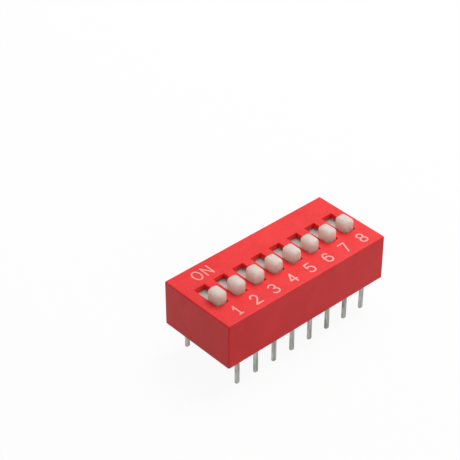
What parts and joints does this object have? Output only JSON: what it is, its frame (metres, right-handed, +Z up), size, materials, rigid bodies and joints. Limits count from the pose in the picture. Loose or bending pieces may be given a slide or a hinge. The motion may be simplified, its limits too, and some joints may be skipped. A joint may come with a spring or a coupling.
{
  "type": "dip switch",
  "caption": "Low red switch block whose slotted cover holds a row of small ivory slide knobs, with flat solder pins in rows below.",
  "frame": {"origin": "middle of the seating plane, where the cover's rim meets the circuit board", "axes": "+X along the positions from the first to the last, +Y towards the ON side, +Z up out of the board"},
  "size_m": [0.0218, 0.0096, 0.0103],
  "materials": {
    "cover_red": "moulded, fine satin",
    "base_black": "moulded, satin",
    "slider_ivory": "moulded, soft satin",
    "terminal_tin": "dull tin plate",
    "spring_gold": "thin gold plate"
  },
  "bodies": {
    "housing": {"cover": "cover_red", "base": "base_black", "terminal_on_side_1": "terminal_tin", "terminal_on_side_2": "terminal_tin", "terminal_on_side_3": "terminal_tin", "terminal_on_side_4": "terminal_tin", "terminal_on_side_5": "terminal_tin", "terminal_on_side_6": "terminal_tin", "terminal_on_side_7": "terminal_tin", "terminal_on_side_8": "terminal_tin", "terminal_number_side_1": "terminal_tin", "terminal_number_side_2": "terminal_tin", "terminal_number_side_3": "terminal_tin", "terminal_number_side_4": "terminal_tin", "terminal_number_side_5": "terminal_tin", "terminal_number_side_6": "terminal_tin", "terminal_number_side_7": "terminal_tin", "terminal_number_side_8": "terminal_tin"},
    "switch_1": {"slider_1": "slider_ivory", "contact_spring_1": "spring_gold"},
    "switch_2": {"slider_2": "slider_ivory", "contact_spring_2": "spring_gold"},
    "switch_3": {"slider_3": "slider_ivory", "contact_spring_3": "spring_gold"},
    "switch_4": {"slider_4": "slider_ivory", "contact_spring_4": "spring_gold"},
    "switch_5": {"slider_5": "slider_ivory", "contact_spring_5": "spring_gold"},
    "switch_6": {"slider_6": "slider_ivory", "contact_spring_6": "spring_gold"},
    "switch_7": {"slider_7": "slider_ivory", "contact_spring_7": "spring_gold"},
    "switch_8": {"slider_8": "slider_ivory", "contact_spring_8": "spring_gold"}
  },
  "joints": [
    {"name": "slide_1", "type": "slide", "parent": "housing", "child": "switch_1", "axis": [0, 1, 0], "range_m": [0, 0.00174]},
    {"name": "slide_2", "type": "slide", "parent": "housing", "child": "switch_2", "axis": [0, 1, 0], "range_m": [0, 0.00174]},
    {"name": "slide_3", "type": "slide", "parent": "housing", "child": "switch_3", "axis": [0, 1, 0], "range_m": [0, 0.00174]},
    {"name": "slide_4", "type": "slide", "parent": "housing", "child": "switch_4", "axis": [0, 1, 0], "range_m": [0, 0.00174]},
    {"name": "slide_5", "type": "slide", "parent": "housing", "child": "switch_5", "axis": [0, 1, 0], "range_m": [0, 0.00174]},
    {"name": "slide_6", "type": "slide", "parent": "housing", "child": "switch_6", "axis": [0, 1, 0], "range_m": [0, 0.00174]},
    {"name": "slide_7", "type": "slide", "parent": "housing", "child": "switch_7", "axis": [0, 1, 0], "range_m": [0, 0.00174]},
    {"name": "slide_8", "type": "slide", "parent": "housing", "child": "switch_8", "axis": [0, 1, 0], "range_m": [0, 0.00174]}
  ]
}
